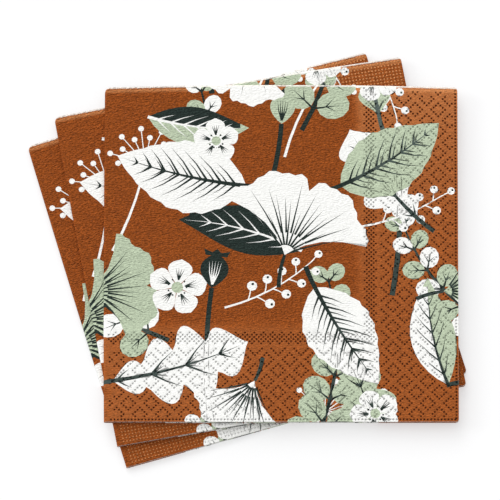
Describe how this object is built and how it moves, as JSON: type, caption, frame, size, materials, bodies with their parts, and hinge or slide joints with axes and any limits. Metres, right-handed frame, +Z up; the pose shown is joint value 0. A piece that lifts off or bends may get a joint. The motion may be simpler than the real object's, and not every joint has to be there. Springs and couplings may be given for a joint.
{
  "type": "stack of paper napkins",
  "caption": "Fanned stack of quarter-folded square paper napkins with a botanical print and an embossed border.",
  "frame": {"origin": "on the table, under the middle of the bottom napkin", "axes": "+Z up from the table; +X right and +Y away from the viewer, along the edges of the top napkin"},
  "size_m": [0.2046, 0.2043, 0.006],
  "materials": {
    "tissue": "matte"
  },
  "bodies": {
    "root": {"napkin_bottom": "tissue", "napkin_middle": "tissue", "napkin_top": "tissue"}
  },
  "joints": []
}
